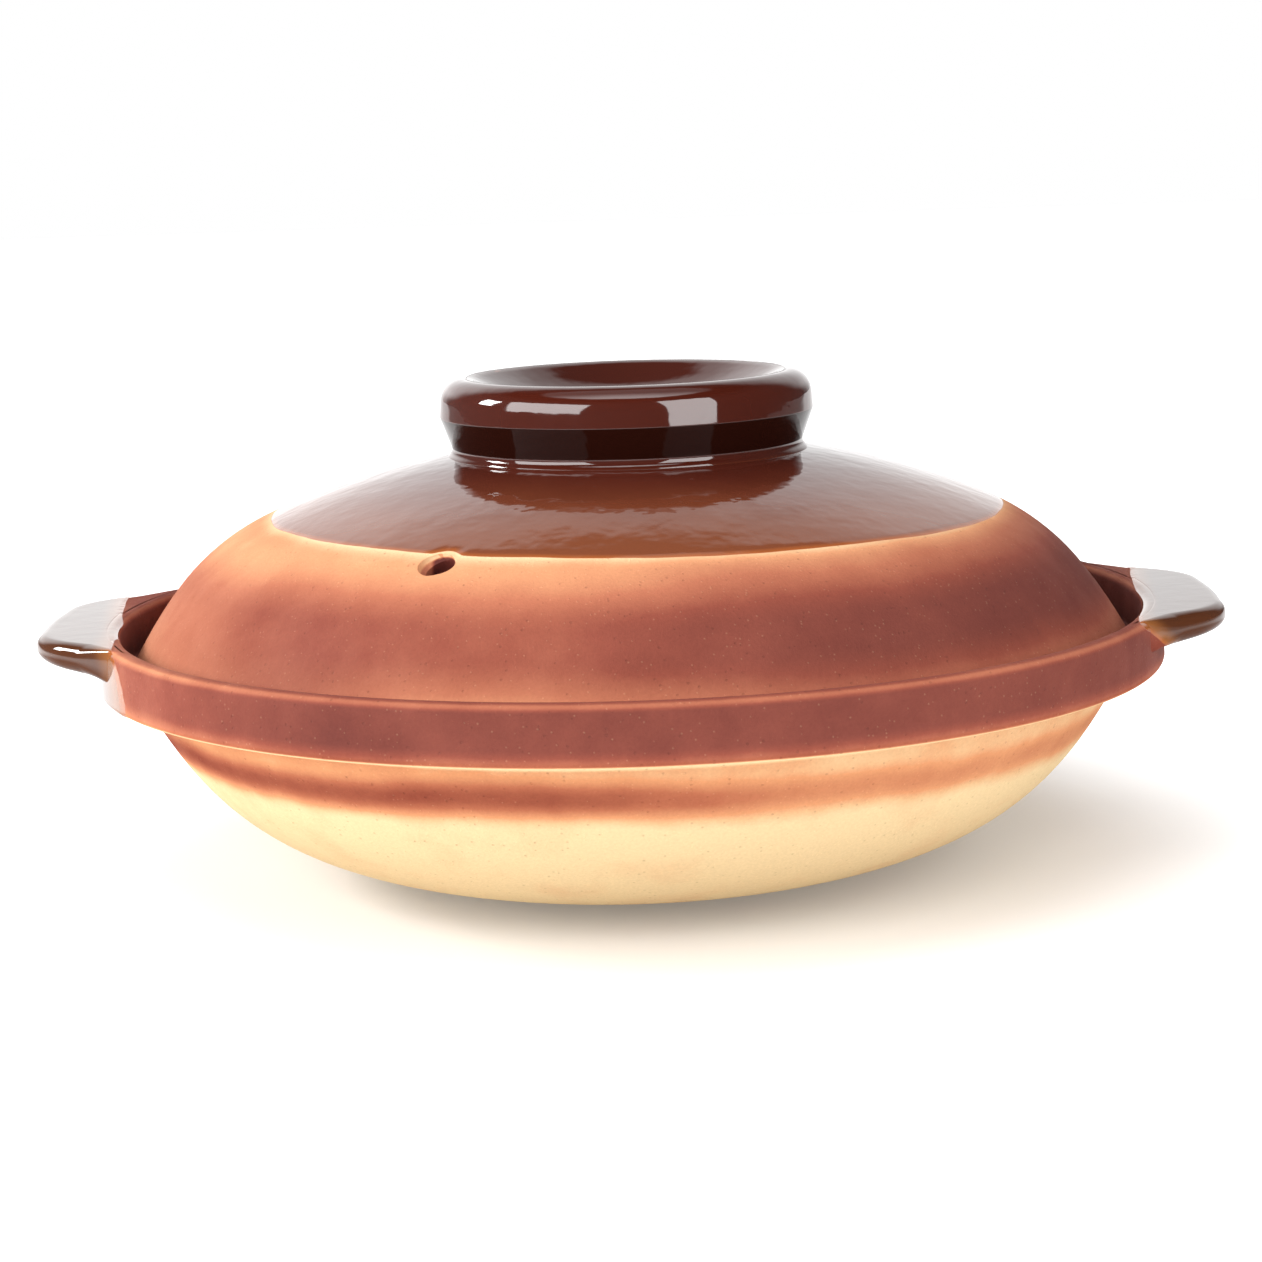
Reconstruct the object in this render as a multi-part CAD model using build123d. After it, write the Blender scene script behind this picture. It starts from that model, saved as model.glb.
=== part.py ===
from build123d import *

import os
from math import asin, cos, degrees, radians, sin, tan

# A shallow donabe: a clay cooking pot with a wide collar, two lug handles and a domed lid
# that sits inside the collar. Five pieces of clay make two things: the pot, which is the
# bowl with its handles, and the lid, which is the dome with its knob.
#
# Millimetres. The origin is on the table under the middle of the pot and +Z is up. The
# handles lie along X, and the steam hole is at the front, which is -Y. Profiles are drawn
# as (radius, height) and turned about Z, as they were thrown on the wheel.

# Bowl, outside: a flat foot, then one long curve up to the underside of the collar
foot_radius = 40.0  # outer edge of the flat ring that it stands on
foot_ring_width = 8.0
foot_recess_depth = 1.2
foot_recess_bevel = 1.5
foot_angle = 6.5  # degrees from level at which the curve leaves the foot
foot_reach = 45.0  # how far the curve holds that direction
belly_angle = 63.4  # degrees from level at which it meets the collar
belly_reach = 42.0

# Collar: the thick band round the mouth, hollowed inside into the gallery that seats the lid
collar_radius = 135.0  # widest circle of the pot, at the collar's lower edge
collar_overhang = 9.5  # the collar stands out from the belly by this much
collar_height = 14.2
collar_lean = 0.8  # its outer face leans in by this much
collar_edge_round = 1.5
underside_round = 1.2
rim_height = 65.7  # top of the rim over the table
rim_width = 5.0
rim_round_share = 0.46  # of the rim's width, on both of its edges
gallery_depth = 10.7  # from the rim down to the seat
gallery_lean = 0.6  # the gallery's wall comes in by this much at the seat
gallery_corner_round = 1.0
seat_width = 10.6
seat_round = 1.2

# Bowl, inside
bowl_floor = 7.0  # thickness of the floor over the table
floor_reach_share = 0.69  # of the seat's inner radius: how far the floor's curve stays level
inner_belly_angle = 67.0
inner_belly_reach = 39.0

# Lid: a dome of even wall, in three arcs: a steep side, a rounder shoulder, a flat crown
lid_gap = 1.3  # between the lid's edge and the gallery's wall at the seat
lid_wall = 6.0
lid_edge_round = 1.7
lid_side_angle = 59.1  # degrees from level at the edge
lid_side_radius = 125.0
lid_side_turn = 6.95  # degrees
lid_shoulder_radius = 55.5
lid_crown_angle = 22.6  # degrees from level where the shoulder meets the crown

# Steam hole, poked through the lid towards its front left
steam_hole_radius = 3.6
steam_hole_drop = 3.0  # degrees round the shoulder from the crown's edge to its mouth
steam_hole_turn = 243.2  # degrees about Z, counted from +X
steam_hole_flare = 1.2  # how much wider the softened mouth is
steam_hole_flare_depth = 1.4
steam_hole_overrun = 3.0  # of the tool beyond both faces of the wall

# Knob: a wide ring pulled up from a button of clay, so that it is dished on top and
# doubles as the lid's foot when the lid is laid on its back
knob_foot_radius = 44.3
knob_foot_flare = 1.6  # cove of clay at the foot of the neck
knob_ridge_radius = 47.3  # the edge between the leaning neck and the flange: the knob's widest
knob_ridge_height = 5.9  # over the crown of the lid
knob_ridge_round = 0.8
knob_corner_radius = 46.5  # where the flange's face and the lip would meet without their roll
knob_corner_height = 16.4  # over the crown
knob_roll = 6.0  # radius of the roll from the face over the crest
knob_lip_slope = 8.0  # degrees by which the lip falls towards the dish
knob_lip_width = 7.4
dish_shoulder_round = 8.0
dish_slope = 27.0  # degrees of its wall
dish_floor_height = 7.1  # over the crown
dish_floor_round = 45.0

# Handles: flat lugs pressed on to the collar, level with the rim
handle_reach = 14.3  # beyond the collar's widest circle
handle_tip_turn = 10.0  # degrees either side of the middle that the round end covers
handle_root_turn = 19.2  # degrees either side where it meets the collar
handle_root_overrun = 14.0  # of its slanting sides into the collar
handle_bed_share = 0.5  # of the rim's width that it is bedded over
handle_drop = 0.2  # of its top below the rim
handle_tip_thickness = 4.3
handle_root_thickness = 7.5
handle_corner_round = 24.0
handle_edge_round_share = 0.46  # of the thickness at its end
right_handle_turn = -2.3  # degrees about Z: neither lug was set quite square
left_handle_turn = 180.2

corner_run_share = 1.15  # straight run beside a rounded corner, over what the round takes

# What follows from those
collar_low = rim_height - collar_height
shoulder_radius = collar_radius - collar_overhang
rim_radius = collar_radius - collar_lean
mouth_radius = rim_radius - rim_width
seat_height = rim_height - gallery_depth
gallery_radius = mouth_radius - gallery_lean
seat_inner_radius = gallery_radius - seat_width
rim_round = rim_width * rim_round_share
lid_radius = gallery_radius - lid_gap
handle_top = rim_height - handle_drop


def slanted(point, angle, length):
    """The (radius, height) reached from a point by going a length at an angle in degrees."""
    return (point[0] + length * cos(radians(angle)), point[1] + length * sin(radians(angle)))


def run_for(radius, turn):
    """The straight run that a rounded corner needs on each side, for a turn in degrees."""
    return radius * tan(radians(turn / 2)) * corner_run_share


def turned(lines):
    """Close a profile drawn as (radius, height) and turn it about Z into a solid."""
    profile = make_face(Curve() + lines)
    return revolve(Plane.XZ * profile, Axis.Z)


def bowl():
    """The pot's bowl with its collar, its lid seat and a foot ring round a shallow recess."""
    recess_radius = foot_radius - foot_ring_width
    underside_corner = (shoulder_radius, collar_low)
    belly_end = slanted(underside_corner, belly_angle, -run_for(underside_round, belly_angle))
    seat_edge = (seat_inner_radius, seat_height)
    inside_start = slanted(seat_edge, inner_belly_angle, -run_for(seat_round, inner_belly_angle))
    foot = Polyline(
        (0, foot_recess_depth),
        (recess_radius - foot_recess_bevel, foot_recess_depth),
        (recess_radius, 0),
        (foot_radius, 0),
    )
    belly = Bezier(
        (foot_radius, 0),
        slanted((foot_radius, 0), foot_angle, foot_reach),
        slanted(belly_end, belly_angle, -belly_reach),
        belly_end,
    )
    collar = FilletPolyline(
        belly_end,
        underside_corner,
        (collar_radius, collar_low),
        (rim_radius, rim_height),
        (mouth_radius, rim_height),
        (gallery_radius, seat_height),
        seat_edge,
        inside_start,
        radius=[underside_round, collar_edge_round, rim_round, rim_round, gallery_corner_round, seat_round],
    )
    inside = Bezier(
        inside_start,
        slanted(inside_start, inner_belly_angle, -inner_belly_reach),
        (seat_inner_radius * floor_reach_share, bowl_floor),
        (0, bowl_floor),
    )
    axis = Line((0, bowl_floor), (0, foot_recess_depth))
    return turned([foot, belly, collar, inside, axis])


def on_arc(centre, radius, slope):
    """The point of an arc round a centre where the profile slopes by so many degrees."""
    return slanted(centre, 90 - slope, radius)


def dome_centres():
    """Centres of the dome's side and shoulder arcs, and of its crown with the crown's radius."""
    edge_run = lid_wall / tan(radians(lid_side_angle)) + run_for(lid_edge_round, 180 - lid_side_angle)
    side_start = slanted((lid_radius, seat_height), 180 - lid_side_angle, edge_run)
    side = on_arc(side_start, -lid_side_radius, lid_side_angle)
    shoulder = on_arc(side, lid_side_radius - lid_shoulder_radius, lid_side_angle - lid_side_turn)
    crown_start = on_arc(shoulder, lid_shoulder_radius, lid_crown_angle)
    crown_radius = crown_start[0] / sin(radians(lid_crown_angle))
    crown = on_arc(crown_start, -crown_radius, lid_crown_angle)
    return side, shoulder, crown, crown_radius


def dome_curve(depth):
    """The dome's profile at a depth under its outer face, from over the edge to the axis."""
    side, shoulder, crown, crown_radius = dome_centres()
    shoulder_angle = lid_side_angle - lid_side_turn
    return [
        CenterArc(side, lid_side_radius - depth, 90 - lid_side_angle, lid_side_turn),
        CenterArc(shoulder, lid_shoulder_radius - depth, 90 - shoulder_angle, shoulder_angle - lid_crown_angle),
        CenterArc(crown, crown_radius - depth, 90 - lid_crown_angle, lid_crown_angle),
    ]


def dome_at(radius):
    """Height and slope in degrees of the dome's crown at a distance from the axis."""
    _, _, crown, crown_radius = dome_centres()
    slope = degrees(asin(radius / crown_radius))
    return on_arc(crown, crown_radius, slope)[1], slope


def lid():
    """The lid's dome: a shell with a flat edge under it and the steam hole through it."""
    outer, inner = dome_curve(0), dome_curve(lid_wall)
    edge = FilletPolyline(
        outer[0] @ 0,
        (lid_radius, seat_height),
        (lid_radius - lid_wall / sin(radians(lid_side_angle)), seat_height),
        inner[0] @ 0,
        radius=lid_edge_round,
    )
    axis = Line(inner[-1] @ 1, outer[-1] @ 1)
    return turned([*outer, edge, *inner, axis]) - steam_hole_tool()


def steam_hole_tool():
    """What the steam hole takes away: a round stick with a flared neck, square to the dome."""
    slope = lid_crown_angle + steam_hole_drop
    mouth = on_arc(dome_centres()[1], lid_shoulder_radius, slope)
    at_mouth = Pos(mouth[0], 0, mouth[1]) * Rot(0, slope, 0)
    stick = Cylinder(steam_hole_radius, 2 * (lid_wall + steam_hole_overrun))
    flare = Cone(steam_hole_radius, steam_hole_radius + 2 * steam_hole_flare, 2 * steam_hole_flare_depth)
    return Rot(0, 0, steam_hole_turn) * at_mouth * (stick + flare)


def knob():
    """The knob: a coved neck that leans out, a rolled flange and a dish, bedded on the dome."""
    foot_height, _ = dome_at(knob_foot_radius)
    corner = (knob_corner_radius, crown_height + knob_corner_height)
    lip = slanted(corner, 180 + knob_lip_slope, knob_lip_width)
    dish_floor = crown_height + dish_floor_height
    wall = slanted(lip, 180 + dish_slope, (lip[1] - dish_floor) / sin(radians(dish_slope)))
    profile = FilletPolyline(
        (0, seat_height),
        (knob_foot_radius + knob_foot_flare, seat_height),
        (knob_foot_radius + knob_foot_flare, foot_height),
        (knob_foot_radius, foot_height + knob_foot_flare),
        (knob_ridge_radius, crown_height + knob_ridge_height),
        corner,
        lip,
        wall,
        (0, dish_floor),
        radius=[0, 0, knob_foot_flare, knob_ridge_round, knob_roll, dish_shoulder_round, dish_floor_round],
    )
    axis = Line((0, dish_floor), (0, seat_height))
    return turned([profile, axis]) - filled_dome()


def filled_dome():
    """The dome as one solid lump, to cut the knob's underside to its curve."""
    outer = dome_curve(0)
    side = Polyline((0, seat_height), (lid_radius, seat_height), outer[0] @ 0)
    axis = Line((0, crown_height), (0, seat_height))
    return turned([side, *outer, axis])


def handle_plan():
    """A lug seen from above, pointing along +X: a round end between two slanting sides."""
    tip_radius = collar_radius + handle_reach
    end = CenterArc((0, 0), tip_radius, -handle_tip_turn, 2 * handle_tip_turn)
    sides = []
    inner_ends = []
    for tip, turn in ((end @ 1, handle_root_turn), (end @ 0, -handle_root_turn)):
        root = Vector(collar_radius, 0).rotate(Axis.Z, turn)
        inner_end = root + (root - tip).normalized() * handle_root_overrun
        sides.append(Line(tip, inner_end))
        inner_ends.append(inner_end)
    back = Polyline(inner_ends[0], (0, 0), inner_ends[1])
    plan = make_face(Curve() + [end, *sides, back])
    return fillet(plan.vertices().sort_by(SortBy.DISTANCE)[-2:], handle_corner_round)


def handle(turn, pot):
    """One lug, tapered in thickness, rounded along its edges and bedded on the collar."""
    tip_radius = collar_radius + handle_reach
    root = collar_radius * cos(radians(handle_root_turn))
    thinning = (handle_root_thickness - handle_tip_thickness) / (tip_radius - root)
    section = Polyline(
        (0, handle_top),
        (tip_radius, handle_top),
        (tip_radius, handle_top - handle_tip_thickness),
        (0, handle_top - handle_tip_thickness - thinning * tip_radius),
        close=True,
    )
    slab = extrude(Plane.XZ * make_face(section), collar_radius, both=True)
    lug = slab & extrude(handle_plan(), rim_height)
    outline = lug.edges().filter_by(Axis.Z, reverse=True).filter_by(stands_out)
    lug = fillet(outline, handle_tip_thickness * handle_edge_round_share)
    bed_radius = rim_radius - rim_width * handle_bed_share
    bed = Cylinder(bed_radius, rim_height, align=(Align.CENTER, Align.CENTER, Align.MIN))
    return Rot(0, 0, turn) * (lug - bed) - pot


def stands_out(edge):
    """Whether an edge of a lug comes out of the collar anywhere along its length."""
    return max(Vector(point.X, point.Y).length for point in edge.positions([0, 0.5, 1])) > collar_radius


crown_height = dome_at(0)[0]

pot_bowl = bowl()
parts = {
    "bowl": pot_bowl,
    "handle_right": handle(right_handle_turn, pot_bowl),
    "handle_left": handle(left_handle_turn, pot_bowl),
    "lid": lid(),
    "lid_knob": knob(),
}

os.makedirs("parts", exist_ok=True)
for name, solid in parts.items():
    box = solid.bounding_box()
    print(f"{name}: {len(solid.solids())} solid, {solid.volume / 1000:.1f} cm3, "
          f"{box.size.X:.1f} x {box.size.Y:.1f} x {box.size.Z:.1f} mm")
    export_step(solid, f"parts/{name}.step")
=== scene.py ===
# %% [markdown]
# A clay cooking pot
#
# The object is a shallow donabe, a pot of sandy clay that stands on a flame. A potter turned
# the bowl, the lid and the lid's ring knob on a wheel, pressed on two lug handles and dipped
# what the cook touches in a brown glaze. This lesson makes each of those pieces the way the
# potter did: a profile that goes round, lumps of clay that are joined on, and glaze on top.

from math import asin, atan2, cos, degrees, hypot, pi, radians, sin, tan

import bmesh
import bpy
import numpy as np
from mathutils import Matrix, Vector, noise


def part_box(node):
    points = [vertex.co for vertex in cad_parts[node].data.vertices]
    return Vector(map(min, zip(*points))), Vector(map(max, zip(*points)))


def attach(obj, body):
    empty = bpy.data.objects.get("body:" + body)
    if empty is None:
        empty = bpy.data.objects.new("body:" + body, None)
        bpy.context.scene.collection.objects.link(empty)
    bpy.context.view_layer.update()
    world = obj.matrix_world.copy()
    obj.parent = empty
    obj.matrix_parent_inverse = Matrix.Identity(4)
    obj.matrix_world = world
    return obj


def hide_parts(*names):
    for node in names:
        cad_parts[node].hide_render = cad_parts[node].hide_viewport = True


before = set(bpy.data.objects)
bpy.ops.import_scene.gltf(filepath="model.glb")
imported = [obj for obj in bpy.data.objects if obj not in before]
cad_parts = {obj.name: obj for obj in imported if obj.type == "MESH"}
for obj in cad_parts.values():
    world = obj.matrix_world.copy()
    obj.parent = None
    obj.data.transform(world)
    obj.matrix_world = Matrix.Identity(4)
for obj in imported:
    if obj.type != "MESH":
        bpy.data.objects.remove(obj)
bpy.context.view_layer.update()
MM = 0.001

# %% [markdown]
# The camera
#
# The photograph looks a little down on the pot from table height, through a longish lens,
# and was taken with the camera tipped by under two degrees. A camera aimed by a direction
# and a roll says exactly that, so it needs no fitting by eye.

# %% The photographer's place
view_drop = radians(9.65)
view_distance = 740 * MM
view_roll = radians(-1.81)
aim = Vector((0, 0, 58.4 * MM))
lens_length, sensor_width = 82.2, 36


def in_scene(name, data):
    """A new object in the scene."""
    thing = bpy.data.objects.new(name, data)
    bpy.context.scene.collection.objects.link(thing)
    return thing


def add_camera():
    """Put a camera on the line of sight, aimed at the pot and rolled."""
    data = bpy.data.cameras.new("photographer")
    data.lens = lens_length
    data.sensor_width = sensor_width
    camera = in_scene("photographer", data)
    place = aim + view_distance * Vector((0, -cos(view_drop), sin(view_drop)))
    upright = Matrix.Rotation(pi / 2 - view_drop, 4, "X")
    camera.matrix_world = Matrix.Translation(place) @ upright @ Matrix.Rotation(view_roll, 4, "Z")
    bpy.context.scene.camera = camera
    return camera


camera = add_camera()
print("Camera at", [round(value, 3) for value in camera.matrix_world.translation])

# %% [markdown]
# Profiles
#
# A turned pot is known by its profile: half of its section, as distances from the axis and
# heights. Each one is drawn here as the potter's template would be, from straight lines with
# rounded corners, arcs and one long curve, and its sizes are the pot's own.

# %% Lines, arcs and long curves
corner_slack = 1.15


def slanted(point, angle, length):
    """The point a length away from a point, at an angle in degrees."""
    return (point[0] + length * cos(radians(angle)), point[1] + length * sin(radians(angle)))


def run_for(radius, turn):
    """The straight run that a rounded corner needs on each side."""
    return radius * tan(radians(turn / 2)) * corner_slack


def arc(centre, radius, start, sweep, steps):
    """Points along an arc, with its angles in degrees."""
    return [slanted(centre, start + sweep * step / steps, radius) for step in range(steps + 1)]


def bezier(a, b, c, d, steps):
    """Points along a curve that leaves a towards b and reaches d from c."""
    gone = np.linspace(0, 1, steps + 1)[:, None]
    left = 1 - gone
    weights = left ** 3, 3 * gone * left ** 2, 3 * gone ** 2 * left, gone ** 3
    points = sum(weight * np.array(point) for weight, point in zip(weights, (a, b, c, d)))
    return [tuple(point) for point in points]


print("A 2 mm corner of 60 degrees needs a run of", round(run_for(2, 60), 2), "mm")


# %% Rounded corners and even spacing
def rounded(points, radii, steps=7):
    """A run of straight lines whose inner corners are rounded to the given radii."""
    nearly_straight = 0.01
    drawn = [tuple(points[0])]
    for before, corner, after, radius in zip(points, points[1:], points[2:], radii):
        back = (Vector(before) - Vector(corner)).normalized()
        ahead = (Vector(after) - Vector(corner)).normalized()
        half = back.angle(ahead) / 2
        if radius <= 0 or half > pi / 2 - nearly_straight:
            drawn.append(tuple(corner))
            continue
        centre = Vector(corner) + (back + ahead).normalized() * radius / sin(half)
        first = (Vector(corner) + back * radius / tan(half) - centre).normalized()
        last = (Vector(corner) + ahead * radius / tan(half) - centre).normalized()
        for step in range(steps + 1):
            spoke = first.slerp(last, step / steps).normalized()
            drawn.append(tuple(centre + spoke * radius))
    drawn.append(tuple(points[-1]))
    return drawn


def filled_in(points, spacing):
    """The same line with more points along its long runs."""
    same_place = 0.0001 * MM
    result = [points[0]]
    for start, end in zip(points, points[1:]):
        length = hypot(end[0] - start[0], end[1] - start[1])
        if length < same_place:
            continue
        count = max(1, round(length / spacing))
        for step in range(1, count + 1):
            share = step / count
            result.append(tuple(a + share * (b - a) for a, b in zip(start, end)))
    return result


print("A square corner, rounded, has", len(rounded([(0, 0), (1, 0), (1, 1)], [0.2])), "points")

# %% [markdown]
# The potter's wheel
#
# What a wheel does is a rule: every point of the profile goes round the axis. So the wheel
# is a Geometry Nodes tree, used for the bowl, the lid, the knob and the tool that pokes the
# steam hole. It lays out a grid, one way along the profile and the other way round, reads
# each point's radius and height from the profile and turns it to its place. A hand never
# holds quite still, so the tree also lets the wall wander a little and leaves faint rings.

# %% A short way to write node trees
class Nodes:
    """Adds nodes to a tree and joins them up."""

    def __init__(self, tree):
        self.tree = tree

    def add(self, kind, settings=None, **inputs):
        """Add a node, set its properties, and set or link each input by name or by number."""
        node = self.tree.nodes.new(kind)
        for label, value in (settings or {}).items():
            setattr(node, label, value)
        for label, value in inputs.items():
            self.feed(node, label.replace("_", " "), value)
        return node

    def feed(self, node, label, value):
        """Give an input a value or another node's socket."""
        numbered = label[0] == "i" and label[1:].isdigit()
        socket = node.inputs[int(label[1:]) if numbered else label]
        if isinstance(value, bpy.types.NodeSocket):
            self.tree.links.new(value, socket)
        else:
            socket.default_value = value

    def math(self, operation, *values, clamp=False):
        """A sum of numbers or sockets; the socket of its result."""
        node = self.add("ShaderNodeMath", {"operation": operation, "use_clamp": clamp})
        for index, value in enumerate(values):
            self.feed(node, f"i{index}", value)
        return node.outputs[0]

    def plus(self, first, second, clamp=False):
        """Two values added."""
        return self.math("ADD", first, second, clamp=clamp)

    def minus(self, first, second, clamp=False):
        """The first value less the second."""
        return self.math("SUBTRACT", first, second, clamp=clamp)

    def over(self, first, second, clamp=False):
        """The first value divided by the second."""
        return self.math("DIVIDE", first, second, clamp=clamp)

    def times(self, first, *others, clamp=False):
        """All the values multiplied."""
        for other in others:
            first = self.math("MULTIPLY", first, other, clamp=clamp)
        return first

    def vector(self, operation, *inputs, **named):
        """A sum of vectors; the socket of its result."""
        numbered = {f"i{index}": value for index, value in enumerate(inputs)}
        node = self.add("ShaderNodeVectorMath", {"operation": operation}, **numbered, **named)
        return node.outputs["Value" if operation in ("LENGTH", "DISTANCE") else "Vector"]

    def axes(self, vector):
        """A vector's X, Y and Z."""
        return self.add("ShaderNodeSeparateXYZ", Vector=vector).outputs

    def noise(self, place, **inputs):
        """A noise texture's value."""
        return self.add("ShaderNodeTexNoise", Vector=place, **inputs).outputs[0]


def new_tree(name, kind, inputs, outputs):
    """An empty node tree with named inputs, as (name, type, value), and outputs."""
    tree = bpy.data.node_groups.new(name, kind)
    add_socket = tree.interface.new_socket
    for label, word, value in inputs:
        socket = add_socket(label, in_out="INPUT", socket_type="NodeSocket" + word)
        if value is not None:
            socket.default_value = value
    for label, word in outputs:
        add_socket(label, in_out="OUTPUT", socket_type="NodeSocket" + word)
    return tree


print("Words for nodes:", [word for word in vars(Nodes) if word[0] != "_"])

# %% Building the wheel
steady_radius = 25 * MM
ring_wobble = 3.0
weld_distance = 0.005 * MM


def make_wheel():
    """The tree that turns a profile into a round wall."""
    tree = new_tree("potters_wheel", "GeometryNodeTree", [
        ("Geometry", "Geometry", None), ("Profile Points", "Int", 2), ("Steps Round", "Int", 360),
        ("Wander", "Float", 0.0), ("Wander Size", "Float", 90 * MM), ("Rings", "Float", 0.0),
        ("Ring Spacing", "Float", 4 * MM), ("Seed", "Float", 0.0), ("Material", "Material", None),
    ], [("Geometry", "Geometry")])
    nodes = Nodes(tree)
    given = nodes.add("NodeGroupInput").outputs
    columns = nodes.plus(given["Steps Round"], 1.0)
    grid = nodes.add("GeometryNodeMeshGrid", Size_X=1.0, Size_Y=1.0,
                     Vertices_X=given["Profile Points"], Vertices_Y=columns)
    turned, facing, radius, height = turned_place(nodes, given)
    placed = nodes.vector("ADD", turned, nodes.vector(
        "SCALE", facing, Scale=unsteady_push(nodes, given, turned, radius, height)))
    moved = nodes.add("GeometryNodeSetPosition", Geometry=grid.outputs[0], Position=placed)
    joined = nodes.add("GeometryNodeMergeByDistance", Geometry=moved.outputs[0],
                       Distance=weld_distance)
    smooth = nodes.add("GeometryNodeSetShadeSmooth", Geometry=joined.outputs[0])
    real = nodes.add("GeometryNodeRealizeInstances", Geometry=smooth.outputs[0])
    made = nodes.add("GeometryNodeSetMaterial", Geometry=real.outputs[0],
                     Material=given["Material"])
    nodes.add("NodeGroupOutput", Geometry=made.outputs[0])
    return tree


def turned_place(nodes, given):
    """Where each point of the grid goes, the way out from the axis, its radius and height."""
    position = nodes.add("GeometryNodeInputPosition").outputs[0]
    grid_place = nodes.axes(position)
    rows = nodes.minus(given["Profile Points"], 1.0)
    along = nodes.math("ROUND", nodes.times(nodes.plus(grid_place["X"], 0.5), rows))
    angle = nodes.times(nodes.plus(grid_place["Y"], 0.5), 2 * pi)
    sample = nodes.add("GeometryNodeSampleIndex", {"data_type": "FLOAT_VECTOR"},
                       Geometry=given["Geometry"], Value=position, Index=along)
    profile = nodes.axes(sample.outputs[0])
    facing = nodes.add("ShaderNodeCombineXYZ", X=nodes.math("COSINE", angle),
                       Y=nodes.math("SINE", angle)).outputs[0]
    out = nodes.vector("SCALE", facing, Scale=profile["X"])
    up = nodes.add("ShaderNodeCombineXYZ", Z=profile["Z"]).outputs[0]
    return nodes.vector("ADD", out, up), facing, profile["X"], profile["Z"]


def unsteady_push(nodes, given, turned, radius, height):
    """How far the wander and the rings push the wall out."""
    wide = nodes.add("ShaderNodeTexNoise", {"noise_dimensions": "4D"}, Vector=turned,
                     W=given["Seed"], Scale=nodes.over(1.0, given["Wander Size"]),
                     Detail=1.0).outputs[0]
    wander = nodes.times(nodes.minus(wide, 0.5), given["Wander"])
    ring_place = nodes.over(nodes.plus(radius, height), given["Ring Spacing"])
    ring_phase = nodes.plus(ring_place, nodes.times(wide, ring_wobble))
    ring = nodes.add("ShaderNodeTexNoise", {"noise_dimensions": "1D"}, W=ring_phase,
                     Scale=1.0, Detail=1.0).outputs[0]
    rings = nodes.times(nodes.minus(ring, 0.5), given["Rings"])
    near_axis = nodes.times(radius, 1 / steady_radius, clamp=True)
    return nodes.times(nodes.plus(wander, rings), near_axis)


wheel = make_wheel()
print("The wheel has", len(wheel.nodes), "nodes")


# %% Turning a piece
def line_object(name, points):
    """A mesh of points only, at (radius, 0, height), for the wheel to read."""
    mesh = bpy.data.meshes.new(name)
    mesh.from_pydata([(radius, 0, height) for radius, height in points], [], [])
    return in_scene(name, mesh)


def keep_result(piece, modifier):
    """Make what a modifier gives the piece's own plain mesh."""
    bpy.context.view_layer.update()
    evaluated = piece.evaluated_get(bpy.context.evaluated_depsgraph_get())
    mesh = bpy.data.meshes.new_from_object(evaluated)
    piece.modifiers.remove(modifier)
    old, piece.data = piece.data, mesh
    bpy.data.meshes.remove(old)
    mesh.name = piece.name


def run_wheel(piece, values):
    """Run the wheel on an object and keep the result."""
    modifier = piece.modifiers.new(wheel.name, "NODES")
    modifier.node_group = wheel
    sockets = [item for item in wheel.interface.items_tree if item.in_out == "INPUT"]
    names = {socket.name: socket.identifier for socket in sockets}
    for label, value in values.items():
        modifier[names[label]] = value
    keep_result(piece, modifier)


def outward(piece):
    """Turn every face of a closed mesh outwards."""
    work = bmesh.new()
    work.from_mesh(piece.data)
    bmesh.ops.recalc_face_normals(work, faces=work.faces)
    open_edges = sum(1 for edge in work.edges if not edge.is_manifold)
    if work.calc_volume(signed=True) < 0:
        bmesh.ops.reverse_faces(work, faces=work.faces)
    work.to_mesh(piece.data)
    print(f"{piece.name}: {len(work.faces)} faces, {open_edges} open edges, "
          f"{work.calc_volume() * 1e6:.0f} cm3")
    work.free()
    return piece


def turned(name, points, spacing, steps_round, wander=0.0, rings=0.0, seed=0.0):
    """A profile sent round the wheel."""
    line = filled_in(points, spacing)
    piece = line_object(name, line)
    run_wheel(piece, {"Profile Points": len(line), "Steps Round": steps_round,
                      "Wander": wander, "Rings": rings, "Seed": seed})
    return outward(piece)


# %% [markdown]
# The bowl
#
# The bowl stands on a flat ring, opens in one long curve and ends in a thick collar. The
# collar is hollowed inside into a gallery, a ledge that the lid sits on. Its main sizes are
# read from the frame, so that the turned wall lies where the CAD model's wall is.

# %% The bowl's sizes
collar_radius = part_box("bowl")[1].x
rim_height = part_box("bowl")[1].z
seat_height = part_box("lid")[0].z
collar_height, collar_overhang, collar_lean = 14.2 * MM, 9.5 * MM, 0.8 * MM
rim_width, gallery_lean, seat_width = 5.0 * MM, 0.6 * MM, 10.6 * MM
foot_radius, foot_ring, foot_recess, foot_bevel = 40 * MM, 8 * MM, 1.2 * MM, 1.5 * MM
bowl_floor = 7.0 * MM
foot_slope, belly_slope, inner_slope = 6.5, 63.4, 67
belly_pull_low, belly_pull_high, inner_pull, floor_share = 45 * MM, 42 * MM, 39 * MM, 0.69
recess_round, ring_round = 0.8 * MM, 0.6 * MM
belly_round, collar_round, rim_round = 1.2 * MM, 1.5 * MM, 2.3 * MM
gallery_round, seat_round = 1.0 * MM, 1.2 * MM

rim_radius = collar_radius - collar_lean
mouth_radius = rim_radius - rim_width
gallery_radius = mouth_radius - gallery_lean
seat_radius = gallery_radius - seat_width
print("The mouth is", round(2 * mouth_radius / MM, 1), "mm across")


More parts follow.
